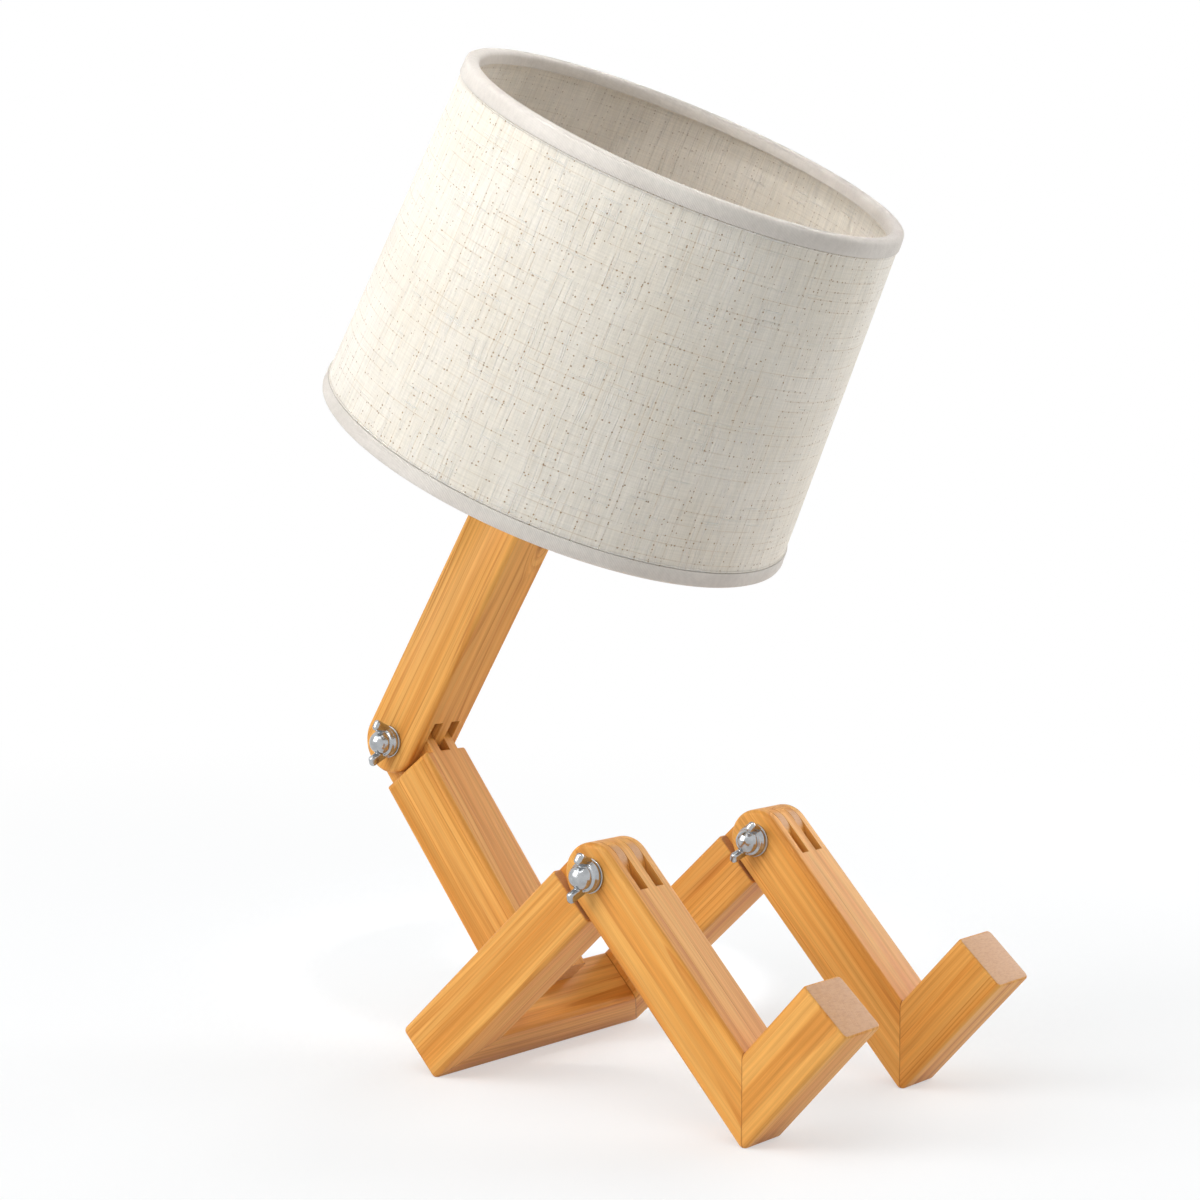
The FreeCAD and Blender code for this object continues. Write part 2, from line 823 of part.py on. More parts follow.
def shade_bottom_hoop():
    return on_neck(hoop(False))


def spider_arms(extra=0.0):
    """Rods from the level fitter down to the canted lower hoop."""
    arms = []
    inner = fitter_outer_radius - arm_radius
    inner_height = seat + fitter_thickness - arm_radius
    outer = wall_radius(wire_height(False)) - wire_depth
    outer_height = shade_base + wire_height(False)
    for index in range(arm_count):
        angle = math.radians(first_arm_angle + 360.0 * index / arm_count)
        start = FreeCAD.Vector(inner * math.cos(angle), inner * math.sin(angle), inner_height)
        tip = FreeCAD.Vector(outer * math.cos(angle), outer * math.sin(angle), outer_height)
        reach = canted(Part.Vertex(tip)).Point - start
        arms.append(Part.makeCylinder(arm_radius + extra, reach.Length, start, reach))
    return arms


def shade_spider():
    """Fitter ring and its arms, which end against the lower hoop."""
    ring = Part.makeCylinder(fitter_outer_radius, fitter_thickness, FreeCAD.Vector(0, 0, seat))
    hole = Part.makeCylinder(fitter_inner_radius, fitter_thickness, FreeCAD.Vector(0, 0, seat))
    return on_neck(ring.fuse(spider_arms()).cut(hole).cut(hoop(False, weld_gap)))


def edge_trim(top):
    """Tape folded over one edge of the shade and its hoop."""
    height = wire_height(top)
    edge = shade_height if top else 0.0
    way = -1.0 if top else 1.0
    outside = trim_gap + trim_thickness
    inner_face = wall_radius(height) - wire_depth - wire_radius - trim_gap
    lip = edge - way * outside
    fold = edge - way * trim_gap
    outer_end = edge + way * trim_height
    inner_end = edge + way * trim_inner_height
    points = [
        (wall_radius(lip) + outside, lip),
        (wall_radius(outer_end) + outside, outer_end),
        (wall_radius(outer_end) + trim_gap, outer_end),
        (wall_radius(fold) + trim_gap, fold),
        (inner_face, fold),
        (inner_face, inner_end),
        (inner_face - trim_thickness, inner_end),
        (inner_face - trim_thickness, lip),
    ]
    band = canted(spin([(radius, shade_base + level) for radius, level in points]))
    if not top:
        band = band.cut(spider_arms(arm_slit_gap))
    return on_neck(band)


# Bulb, held by the screw shell
cap_start = tip_base + bulb_tip_height + bulb_collar_height
cap_end = cap_start + bulb_cap_height
body_end = cap_end + bulb_body_height


def bulb_cap():
    """Metal screw cap with its insulating collar and tip."""
    outer = screw_shell_radius - bulb_gap
    first = core_top + screw_shell_floor + skipped_ridge_count * ridge_pitch
    ridges = ridged(outer + ridge_depth, first, bulb_ridge_count, ridge_pitch, ridge_depth)
    outline = [
        (0, tip_base),
        (bulb_tip_radius, tip_base),
        (bulb_tip_radius, tip_base + bulb_tip_height),
        (bulb_collar_radius, tip_base + bulb_tip_height),
        (bulb_collar_radius + 1.5, cap_start),
        (outer, cap_start + 1.2),
    ]
    outline += ridges
    outline += [(outer, cap_end), (0, cap_end)]
    return on_neck(spin(outline))


def bulb_body():
    """Moulded body between the cap and the globe."""
    return on_neck(
        spin(
            [
                (0, cap_end),
                (bulb_neck_radius, cap_end),
                (bulb_neck_radius, cap_end + bulb_neck_height),
                (bulb_neck_radius + 3.4, cap_end + 0.35 * bulb_body_height),
                (bulb_radius - 2.6, cap_end + 0.75 * bulb_body_height),
                (bulb_radius, body_end),
                (0, body_end),
            ]
        )
    )


def bulb_globe():
    """Opal globe that closes the body."""
    ball = (bulb_radius ** 2 + bulb_globe_height ** 2) / (2 * bulb_globe_height)
    centre = FreeCAD.Vector(0, 0, body_end + bulb_globe_height - ball)
    keep = Part.makeCylinder(2 * ball, 2 * ball, FreeCAD.Vector(0, 0, body_end))
    skin = Part.makeSphere(ball, centre).cut(Part.makeSphere(ball - bulb_globe_wall, centre))
    return on_neck(skin.common(keep))


def switch_knob():
    """Ribbed turn knob on a stem through the cap's wall."""
    height = neck_length + switch_rise
    axis = FreeCAD.Vector(1, 0, 0)
    stem = Part.makeCylinder(
        stem_radius, knob_reach - stem_inner_reach, FreeCAD.Vector(stem_inner_reach, 0, height), axis
    )
    knob = Part.makeCylinder(knob_radius, knob_length, FreeCAD.Vector(knob_reach, 0, height), axis)
    knob = soften(knob, 1.0, on_plane(FreeCAD.Vector(knob_reach + knob_length, 0, 0), axis))
    ribs = []
    for index in range(knob_rib_count):
        angle = 2 * math.pi * index / knob_rib_count
        centre = FreeCAD.Vector(
            knob_reach + 1.0,
            knob_radius * math.cos(angle),
            height + knob_radius * math.sin(angle),
        )
        ribs.append(Part.makeCylinder(knob_rib_radius, knob_length - 2.4, centre, axis))
    return on_neck(stem.fuse([knob] + ribs))


def build():
    """Every node of the lamp, by name."""
    right = -rail_x
    left = rail_x - beam
    waist = -torso_beam / 2
    frame = seat_frame()
    right_leg = leg(-1)
    left_leg = leg(1)
    return {
        "hip_rail": hip_rail(frame),
        "thigh_right": thigh(frame, -1),
        "thigh_left": thigh(frame, 1),
        "hip_screws": hip_screws(),
        "spine": spine(),
        "shin_right": shin(right_leg, -1),
        "shin_left": shin(left_leg, 1),
        "foot_right": foot(right_leg, -1),
        "foot_left": foot(left_leg, 1),
        "knee_bolt_right": hinge_bolt(knee_pin, right, beam),
        "knee_bolt_left": hinge_bolt(knee_pin, left, beam),
        "knee_washer_right": hinge_washer(knee_pin, right),
        "knee_washer_left": hinge_washer(knee_pin, left),
        "knee_wing_nut_right": wing_nut(knee_pin, right, right_wing_angle),
        "knee_wing_nut_left": wing_nut(knee_pin, left, left_wing_angle),
        "neck": neck(),
        "waist_bolt": hinge_bolt(waist_pin, waist, torso_beam),
        "waist_washer": hinge_washer(waist_pin, waist),
        "waist_wing_nut": wing_nut(waist_pin, waist, waist_wing_angle),
        "lamp_nipple": lamp_nipple(),
        "nipple_nut": nipple_nut(),
        "holder_cap": holder_cap(),
        "holder_barrel": holder_barrel(),
        "holder_core": holder_core(),
        "screw_shell": screw_shell(),
        "centre_contact": centre_contact(),
        "ring_nut": ring_nut(),
        "switch_knob": switch_knob(),
        "shade_spider": shade_spider(),
        "shade_top_hoop": shade_top_hoop(),
        "shade_bottom_hoop": shade_bottom_hoop(),
        "shade_fabric": shade_fabric(),
        "shade_lining": shade_lining(),
        "top_trim": edge_trim(True),
        "bottom_trim": edge_trim(False),
        "bulb_cap": bulb_cap(),
        "bulb_body": bulb_body(),
        "bulb_globe": bulb_globe(),
    }


os.makedirs("parts", exist_ok=True)
for name, shape in build().items():
    shape.exportStep("parts/" + name + ".step")
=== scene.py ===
import json
import math

import bmesh
import bpy
from mathutils import Matrix, Vector


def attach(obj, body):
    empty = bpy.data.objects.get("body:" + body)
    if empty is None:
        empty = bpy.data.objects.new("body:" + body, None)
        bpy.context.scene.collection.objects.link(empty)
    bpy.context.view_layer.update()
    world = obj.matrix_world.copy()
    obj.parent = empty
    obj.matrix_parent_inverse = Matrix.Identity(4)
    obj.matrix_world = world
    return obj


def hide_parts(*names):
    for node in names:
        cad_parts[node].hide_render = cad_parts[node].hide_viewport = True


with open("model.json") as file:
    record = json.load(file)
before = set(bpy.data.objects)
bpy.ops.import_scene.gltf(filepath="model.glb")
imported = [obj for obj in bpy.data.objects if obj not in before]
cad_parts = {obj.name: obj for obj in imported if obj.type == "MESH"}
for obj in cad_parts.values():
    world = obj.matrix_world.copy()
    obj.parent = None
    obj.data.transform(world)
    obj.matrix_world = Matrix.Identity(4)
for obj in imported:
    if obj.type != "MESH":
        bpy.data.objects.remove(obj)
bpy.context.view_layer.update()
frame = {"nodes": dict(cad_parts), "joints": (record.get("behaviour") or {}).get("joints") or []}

MM = 0.001
TURN = 2 * math.pi
BEAM = 25 * MM
TORSO_BEAM = 28 * MM
HALF_WIDTH = 69 * MM

# Side-plane angles above forward, in degrees
THIGH, SHIN, FOOT, SPINE, NECK = 44.5, -46.1, 48.9, 129.1, 60.0


def pin_of(joint):
    """Middle of the lamp on a hinge's own axis."""
    row = next(row for row in frame["joints"] if row["name"] == joint)
    return Vector((0, *row["pos_m"][1:]))


# Where things are, in the lamp's own frame
WAIST_PIN = pin_of("waist")
KNEE_PIN = pin_of("knee_right")
HEEL = KNEE_PIN + Vector((0, -73.508, -94.413)) * MM
HIP_EDGE = KNEE_PIN + Vector((0, 77.899, -94.076)) * MM
THIGH_X = HALF_WIDTH - BEAM / 2


def side_way(angle):
    """Direction in the side plane, the given degrees above forward."""
    turn = math.radians(angle)
    return Vector((0, -math.cos(turn), math.sin(turn)))


# Material building
class Finish:
    """One material and the few node helpers that its recipe is written with."""

    def __init__(self, name, **skin):
        self.material = bpy.data.materials.new(name)
        self.material.use_nodes = True
        self.tree = self.material.node_tree
        self.skin = self.tree.nodes["Principled BSDF"]
        for socket, value in skin.items():
            self.skin.inputs[socket.replace("_", " ")].default_value = value

    def add(self, kind, wires=None, **settings):
        node = self.tree.nodes.new("ShaderNode" + kind)
        for key, value in settings.items():
            setattr(node, key, value)
        for key, value in (wires or {}).items():
            self.wire(value, node.inputs[key])
        return node

    def wire(self, value, socket):
        if isinstance(value, bpy.types.NodeSocket):
            self.tree.links.new(value, socket)
        else:
            socket.default_value = value

    def math(self, operation, a, b=0.0, c=0.0):
        return self.add("Math", {0: a, 1: b, 2: c}, operation=operation).outputs[0]

    def times(self, a, b):
        return self.math("MULTIPLY", a, b)

    def plus(self, a, b):
        return self.math("ADD", a, b)

    def most(self, a, b):
        return self.math("MAXIMUM", a, b)

    def wave(self, value, length):
        """Sine of a place, with the given wavelength."""
        return self.math("SINE", self.times(value, TURN / length))

    def vector(self, operation, a, b=(0, 0, 0)):
        return self.add("VectorMath", {0: a, 1: b}, operation=operation)

    def stretch(self, point, scale):
        return self.vector("MULTIPLY", point, scale).outputs[0]

    def split(self, point):
        return self.add("SeparateXYZ", {0: point}).outputs

    def join(self, x, y, z=0.0):
        return self.add("CombineXYZ", {0: x, 1: y, 2: z}).outputs[0]

    def noise(self, point, scale=1.0, detail=2.0, rough=0.5):
        wires = {"Vector": point, "Scale": scale, "Detail": detail, "Roughness": rough}
        return self.add("TexNoise", wires).outputs["Fac"]

    def speckle(self, point):
        return self.add("TexWhiteNoise", {"Vector": point}).outputs["Value"]

    def ease(self, value, low, high, to_low=0.0, to_high=1.0):
        wires = {"Value": value, 1: low, 2: high, 3: to_low, 4: to_high}
        return self.add("MapRange", wires, interpolation_type="SMOOTHSTEP").outputs[0]

    def ramp(self, value, stops):
        node = self.add("ValToRGB", {0: value})
        marks = node.color_ramp.elements
        while len(marks) < len(stops):
            marks.new(0.5)
        for mark, (place, colour) in zip(marks, stops):
            mark.position = place
            mark.color = (*colour, 1)
        return node.outputs[0]

    def mix(self, share, a, b, blend="MIX"):
        node = self.add("Mix", data_type="RGBA", blend_type=blend)
        self.wire(share, node.inputs[0])
        for socket, value in ((node.inputs[6], a), (node.inputs[7], b)):
            self.wire((*value, 1) if isinstance(value, tuple) else value, socket)
        return node.outputs[2]

    def toned(self, colour, *tones):
        """Colour made lighter or darker by each tone."""
        tone = 1.0
        for part in tones:
            tone = self.times(tone, part)
        return self.mix(1.0, colour, self.join(tone, tone, tone), "MULTIPLY")

    def paint(self, colour=None, roughness=None, height=None, depth=0.0):
        if colour is not None:
            self.wire(colour, self.skin.inputs["Base Color"])
        if roughness is not None:
            self.wire(roughness, self.skin.inputs["Roughness"])
        if height is not None:
            wires = {"Height": height, "Distance": depth, "Strength": 1.0}
            bump = self.add("Bump", wires)
            self.wire(bump.outputs[0], self.skin.inputs["Normal"])
        return self.material


def grain_frame(along, up):
    """Euler turn that lays X along a beam and Z across it."""
    x = along.normalized()
    z = up.normalized()
    return Matrix((x, z.cross(x), z)).transposed().to_euler()


# Wood colours, and its year lines: pitch, unevenness, place in the noise, where a line starts
BOARD_TONES = (
    (0.28, (0.640, 0.258, 0.046)),
    (0.46, (0.705, 0.318, 0.066)),
    (0.58, (0.765, 0.388, 0.098)),
    (0.74, (0.650, 0.268, 0.049)),
)
CUT_TONES = (
    (0.30, (0.520, 0.258, 0.110)),
    (0.48, (0.570, 0.296, 0.132)),
    (0.70, (0.600, 0.320, 0.146)),
)
LATE_WOOD = (0.500, 0.160, 0.020)
PORE = (0.390, 0.115, 0.015)
KNOT_EYE = (0.300, 0.090, 0.020)
CUT_RING = (0.430, 0.190, 0.080)
GLUE_LINE = (0.260, 0.080, 0.016)
YEAR_LINES = (
    (1.3 * MM, 1.1, 5.0, 0.40),
    (2.9 * MM, 1.5, 0.0, 0.62),
)


def year_lines(f, length, breadth, depth, seed):
    """Late wood of each year, soft on one side and sharp on the other."""
    tilt = 0.5 + 0.9 * math.sin(seed * 7.3)
    across = f.plus(f.times(breadth, math.cos(tilt)), f.times(depth, math.sin(tilt)))
    late = 0.0
    for pitch, unevenness, offset, start in YEAR_LINES:
        own = seed + offset
        spread = f.join(f.times(across, 0.5 / pitch), f.times(length, 5.0), own)
        uneven = f.noise(spread, detail=1.0)
        phase = f.math("MULTIPLY_ADD", across, 1 / pitch, f.times(uneven, unevenness * 2))
        number = f.math("FLOOR", phase)
        inside = f.math("FRACT", phase)
        luck = f.speckle(f.join(number, own))
        fade = f.noise(f.join(f.times(length, 14.0), f.times(number, 3.7), own))
        line = f.times(f.ease(inside, start, 0.94), f.ease(inside, 0.95, 1.0, 1.0, 0.0))
        line = f.times(line, f.ease(luck, 0.1, 1.0, 0.25, 1.0))
        line = f.times(line, f.ease(fade, 0.32, 0.62, 0.25, 1.0))
        late = f.math("MULTIPLY_ADD", late, 0.55, line)
    return late


def glued(f, colour, here, place, seams):
    """Thin dark glue lines, a little ragged, where planes cut the beam."""
    for point, normal in seams:
        off = f.vector("SUBTRACT", here, tuple(point)).outputs[0]
        gap = f.vector("DOT_PRODUCT", off, tuple(normal.normalized())).outputs["Value"]
        ragged = f.math("MULTIPLY_ADD", f.noise(place, 300.0), 0.5 * MM, -0.25 * MM)
        gap = f.math("ABSOLUTE", f.plus(gap, ragged))
        colour = f.mix(f.ease(gap, 0.05 * MM, 0.40 * MM, 0.60, 0.0), colour, GLUE_LINE)
    return colour


def wood(name, start, along, up, seed, knots=(), seams=()):
    """Oiled straight-grained wood, with its grain along one beam."""
    f = Finish(name, Roughness=0.45, Specular_IOR_Level=0.18)
    here = f.add("TexCoord").outputs
    lay = f.add("Mapping", {"Vector": here["Object"]}, vector_type="TEXTURE")
    lay.inputs["Location"].default_value = start
    lay.inputs["Rotation"].default_value = grain_frame(along, up)
    place = lay.outputs[0]
    moved = f.vector("ADD", place, (seed * 0.37, seed * 0.11, seed * 0.23)).outputs[0]

    # Grain drifts slowly and runs round each knot
    drift = f.noise(f.stretch(moved, (8, 24, 24)), detail=1.0)
    sway = f.math("MULTIPLY_ADD", drift, 3.4 * MM, -1.7 * MM)
    eye = 0.0
    for centre, size in knots:
        away = f.vector("SUBTRACT", place, tuple(c * MM for c in centre)).outputs[0]
        squat = f.stretch(away, (0.4 / size / MM, 1 / size / MM, 1 / size / MM))
        near = f.vector("LENGTH", squat).outputs["Value"]
        sway = f.plus(sway, f.ease(near, 0.2, 2.8, 1.3 * size * MM, 0.0))
        eye = f.most(eye, f.ease(near, 0.30, 1.0, 1.0, 0.0))
    grain = f.vector("ADD", moved, f.join(0.0, sway, sway)).outputs[0]
    length, breadth, depth = f.split(grain)
    late = year_lines(f, length, breadth, depth, seed)

    boards = f.noise(f.stretch(grain, (2.5, 105, 105)))
    lines = f.noise(f.stretch(grain, (9, 620, 620)), detail=3.0, rough=0.6)
    fibres = f.noise(f.stretch(grain, (45, 2400, 2400)), rough=0.6)
    streaks = f.ease(f.noise(f.stretch(grain, (11, 800, 800)), detail=1.0), 0.64, 0.74)
    gate = f.ease(f.noise(f.stretch(grain, (7, 60, 60)), detail=1.0), 0.46, 0.60)
    pores = f.times(streaks, gate)

    colour = f.ramp(boards, BOARD_TONES)
    colour = f.mix(f.math("MINIMUM", f.times(late, 0.72), 0.85), colour, LATE_WOOD)
    colour = f.toned(colour, f.ease(lines, 0.32, 0.68, 0.90, 1.07),
                     f.ease(fibres, 0.3, 0.7, 0.95, 1.04))
    colour = f.mix(f.times(pores, 0.55), colour, PORE)
    if knots:
        colour = f.mix(f.times(eye, 0.72), colour, KNOT_EYE)

    # Cut ends: pinkish, with short dashes and faint rings
    dashes = f.noise(f.join(f.times(breadth, 420.0), f.times(depth, 1500.0), seed), rough=0.6)
    cut = f.mix(f.times(late, 0.10), f.ramp(dashes, CUT_TONES), CUT_RING)
    facing = f.vector("DOT_PRODUCT", here["Normal"], tuple(along.normalized())).outputs["Value"]
    colour = f.mix(f.ease(f.math("ABSOLUTE", facing), 0.90, 0.99), colour, cut)

    colour = glued(f, colour, here["Object"], place, seams)
    rough = f.ease(lines, 0.3, 0.7, 0.50, 0.38)
    height = f.plus(f.times(lines, 0.6), f.times(fibres, 0.5))
    height = f.math("SUBTRACT", height, f.math("MULTIPLY_ADD", late, 0.25, f.times(pores, 0.7)))
    return f.paint(colour, rough, height, 0.05 * MM)


# Cloth colours
BROWN_THREAD = (0.520, 0.380, 0.235)
PALE_SLUB = (0.905, 0.870, 0.805)
FLECK = (0.300, 0.175, 0.075)
TAPE_LIGHT, TAPE_DARK = (0.705, 0.660, 0.608), (0.635, 0.590, 0.540)


def cloth_point(f):
    """Where a point lies on the shade: metres round it and metres up it."""
    return f.add("UVMap", uv_map="Cloth").outputs[0]


def flecked_threads(f, across, along, spacing, seed):
    """Brown threads at uneven places, broken along their length, with flecks on them."""
    count = f.times(across, 1 / spacing)
    number = f.math("FLOOR", count)
    centre = f.math("MULTIPLY_ADD", f.speckle(f.join(number, seed)), 0.7, 0.15)
    aside = f.times(f.math("SUBTRACT", f.math("FRACT", count), centre), spacing)
    broken = f.noise(f.join(f.times(along, 45.0), f.times(number, 5.3), seed))
    line = f.ease(f.math("ABSOLUTE", aside), 0.10 * MM, 0.32 * MM, 1.0, 0.0)
    line = f.times(line, f.ease(broken, 0.42, 0.62))
    flecks = 0.0
    for step, size, start in ((3.3 * MM, 0.50 * MM, 0.0), (5.9 * MM, 0.42 * MM, 1.9)):
        beads = f.math("MULTIPLY_ADD", along, 1 / step, start)
        bead = f.math("FLOOR", beads)
        luck = f.speckle(f.join(number, bead, seed + start))
        place = f.math("MULTIPLY_ADD", f.speckle(f.join(bead, number, seed + start + 3)), 0.7, 0.15)
        ahead = f.times(f.math("SUBTRACT", f.math("FRACT", beads), place), step)
        away = f.vector("LENGTH", f.join(aside, ahead)).outputs["Value"]
        reach = f.times(f.ease(luck, 0.45, 1.0, 0.0, 1.0), size)
        spot = f.math("SUBTRACT", 1.0, f.math("DIVIDE", away, f.plus(reach, 0.02 * MM)))
        flecks = f.most(flecks, f.ease(spot, 0.05, 0.55))
    return line, flecks


def slub_threads(f, across, along, pitch, run, share, seed):
    """Pale raised slubs: short lengths of thicker thread between the fine ones."""
    count = f.times(across, 1 / pitch)
    number = f.math("FLOOR", count)
    start = f.times(f.speckle(f.join(number, seed)), 9.0)
    pieces = f.math("MULTIPLY_ADD", along, 1 / run, start)
    luck = f.speckle(f.join(number, f.math("FLOOR", pieces), seed + 1))
    taper = f.math("SINE", f.times(f.math("FRACT", pieces), math.pi))
    aside = f.math("ABSOLUTE", f.math("SUBTRACT", f.math("FRACT", count), 0.5))
    line = f.times(f.ease(aside, 0.05, 0.30, 1.0, 0.0), f.ease(taper, 0.1, 0.7))
    return f.times(line, f.ease(luck, 1.0 - share, 1.0))


def linen(name, light, shade, strength):
    """Plain weave with pale slubs up it and flecked brown threads both ways."""
    f = Finish(name, Roughness=0.92, Sheen_Weight=0.03, Sheen_Roughness=0.5,
               Specular_IOR_Level=0.1, Subsurface_Weight=0.45,
               Subsurface_Radius=(1.0, 0.9, 0.75), Subsurface_Scale=2.5 * MM)
    point = cloth_point(f)
    drift = f.noise(f.stretch(point, (16, 42, 1)), detail=1.0)
    drift = f.math("MULTIPLY_ADD", drift, 1.8 * MM, -0.9 * MM)
    x, y = f.split(f.vector("ADD", point, f.join(drift, f.times(drift, 0.6))).outputs[0])[:2]

    # Fine weave, over and under
    weave = f.times(f.wave(x, 0.56 * MM), f.wave(y, 0.62 * MM))
    yarn_up = f.noise(f.stretch(point, (1500, 60, 1)), detail=1.0)
    yarn_round = f.noise(f.stretch(point, (60, 1300, 1)), detail=1.0)
    ribs = f.noise(f.stretch(point, (640, 9, 1)), detail=2.0, rough=0.6)

    pale = f.plus(slub_threads(f, x, y, 0.85 * MM, 17 * MM, 0.42, 3.0),
                  slub_threads(f, y, x, 1.10 * MM, 12 * MM, 0.10, 8.0))
    line_up, flecks_up = flecked_threads(f, x, y, 4.6 * MM, 13.0)
    line_round, flecks_round = flecked_threads(f, y, x, 5.4 * MM, 21.0)
    brown = f.most(line_up, line_round)
    flecks = f.most(flecks_up, flecks_round)

    cloud = f.noise(f.stretch(point, (20, 20, 1)), detail=2.0)
    colour = f.mix(f.ease(cloud, 0.3, 0.7), shade, light)
    colour = f.toned(colour, f.ease(yarn_up, 0.3, 0.7, 0.945, 1.035),
                     f.ease(yarn_round, 0.3, 0.7, 0.96, 1.03),
                     f.ease(ribs, 0.32, 0.66, 0.955, 1.03))
    colour = f.mix(f.times(brown, 0.36 * strength), colour, BROWN_THREAD)
    colour = f.mix(f.times(f.math("MINIMUM", pale, 1.0), 0.55 * strength), colour, PALE_SLUB)
    colour = f.mix(f.times(flecks, 0.85 * strength), colour, FLECK)
    height = f.plus(f.times(weave, 0.35), f.times(pale, 2.6))
    height = f.plus(height, f.math("MULTIPLY_ADD", ribs, 1.4, f.times(yarn_up, 0.8)))
    return f.paint(colour, None, height, 0.10 * MM)


def trim_tape(name):
    """Ribbed grey tape, with its ribs across the rim."""
    f = Finish(name, Roughness=0.8, Sheen_Weight=0.05, Sheen_Roughness=0.4, Specular_IOR_Level=0.2)
    point = cloth_point(f)
    x, y = f.split(point)[:2]
    ribs = f.math("MULTIPLY_ADD", f.wave(x, 0.62 * MM), 0.5, 0.5)
    cross = f.math("MULTIPLY_ADD", f.wave(y, 0.5 * MM), 0.5, 0.5)
    cloud = f.noise(f.stretch(point, (30, 60, 1)), detail=2.0)
    fray = f.noise(f.stretch(point, (500, 300, 1)), detail=2.0)
    colour = f.mix(f.ease(cloud, 0.3, 0.7), TAPE_DARK, TAPE_LIGHT)
    # Painted shade: the colour is darker in the troughs between ribs and between cross threads, the
    # low places of the bump
    colour = f.toned(colour, f.ease(ribs, 0.0, 0.8, 0.88, 1.02),
                     f.ease(cross, 0.0, 1.0, 0.97, 1.0), f.ease(fray, 0.3, 0.7, 0.96, 1.03))
    height = f.plus(ribs, f.times(cross, 0.2))
    return f.paint(colour, None, height, 0.09 * MM)


def bright_metal(name, colour, roughness):
    """Plated metal with faint smears and fine scratches."""
    f = Finish(name, Metallic=1.0)
    point = f.add("TexCoord").outputs["Object"]
    smear = f.noise(point, 260.0, detail=3.0, rough=0.6)
    scratch = f.noise(f.stretch(point, (900, 3200, 900)), detail=2.0, rough=0.7)
    dark = tuple(0.82 * c for c in colour)
    tone = f.mix(f.ease(smear, 0.35, 0.65), dark, colour)
    rough = f.ease(smear, 0.3, 0.7, roughness * 0.75, roughness * 1.35)
    return f.paint(tone, rough, scratch, 0.012 * MM)


def moulded(name, colour, roughness):
    """Moulded plastic or ceramic with a faint orange peel."""
    f = Finish(name)
    point = f.add("TexCoord").outputs["Object"]
    peel = f.noise(point, 900.0, detail=2.0)
    cloud = f.noise(point, 60.0, detail=2.0)
    dark = tuple(0.88 * c for c in colour)
    tone = f.mix(f.ease(cloud, 0.3, 0.7), dark, colour)
    rough = f.ease(cloud, 0.3, 0.7, roughness * 0.85, roughness * 1.2)
    return f.paint(tone, rough, peel, 0.02 * MM)


# Piece making
def shape_of(name, mesh_work, material, body, replaced=(), smooth=35.0):
    """Finished piece from a bmesh: smooth except at edges sharper than the given angle."""
    bmesh.ops.recalc_face_normals(mesh_work, faces=mesh_work.faces)
    for face in mesh_work.faces:
        face.smooth = True
    for edge in mesh_work.edges:
        angle = edge.calc_face_angle(TURN)
        edge.smooth = angle < math.radians(smooth)
    mesh = bpy.data.meshes.new(name)
    mesh_work.to_mesh(mesh)
    mesh_work.free()
    mesh.materials.append(material)
    piece = bpy.data.objects.new(name, mesh)
    bpy.context.scene.collection.objects.link(piece)
    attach(piece, body)
    if replaced:
        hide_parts(*replaced)
    return piece


def welded_copy(node):
    """The CAD solid's own triangles, joined into one skin."""
    work = bmesh.new()
    work.from_mesh(frame["nodes"][node].data)
    bmesh.ops.remove_doubles(work, verts=work.verts, dist=0.002 * MM)
    return work


def from_solid(node, material, body, smooth=35.0):
    """Piece with the solid's own shape, smoothed over its rounded edges."""
    return shape_of(node + "_finished", welded_copy(node), material, body, (node,), smooth)


def lathe(profile, steps):
    """Closed outline of (radius, height) points in millimetres, turned about Z."""
    work = bmesh.new()
    verts = [work.verts.new((radius * MM, 0, height * MM)) for radius, height in profile]
    edges = [work.edges.new(pair) for pair in zip(verts, verts[1:] + verts[:1])]
    bmesh.ops.spin(work, geom=verts + edges, axis=(0, 0, 1), cent=(0, 0, 0), steps=steps,
                   angle=TURN, use_merge=True)
    bmesh.ops.remove_doubles(work, verts=work.verts, dist=0.001 * MM)
    bmesh.ops.recalc_face_normals(work, faces=work.faces)
    return work


def round_edges(work, edges, radius, segments):
    bmesh.ops.bevel(work, geom=edges, offset=radius * MM, offset_type="OFFSET", segments=segments,
                    profile=0.5, affect="EDGES", clamp_overlap=True, material=-1)


NECK_PLACE = Matrix.Translation(WAIST_PIN) @ Matrix.Rotation(math.radians(90 - NECK), 4, "X")

# Shade, in millimetres along the neck's axis from the waist pin
SHADE_FOOT = 144.8
SHADE_HEIGHT = 146.0
FOOT_RADIUS = 102.4
TOP_RADIUS = 93.7
CANT_RISE = 102.0
CANT = 4.0
CLOTH, GLUE, LINING = 0.7, 0.3, 0.5
HOOP_GAP, HOOP_WIRE, HOOP_DEPTH = 0.3, 2.8, 1.7
TAPE_GAP, TAPE = 0.15, 0.5
SHADE_STEPS = 240
CROSSING = Matrix.Translation((0, 0, (SHADE_FOOT + CANT_RISE) * MM))
SHADE_LEAN = Matrix.Rotation(math.radians(-CANT), 4, "X")
SHADE_PLACE = NECK_PLACE @ CROSSING @ SHADE_LEAN @ CROSSING.inverted()


def hinge_place(x, pin):
    """Lays a turned piece's +Z along -X, with its foot on a beam's face."""
    lie = Matrix.Rotation(math.radians(-90), 4, "Y")
    return Matrix.Translation((x, pin.y, pin.z)) @ lie


def set_in(work, place):
    bmesh.ops.transform(work, matrix=place, verts=work.verts)
    return work


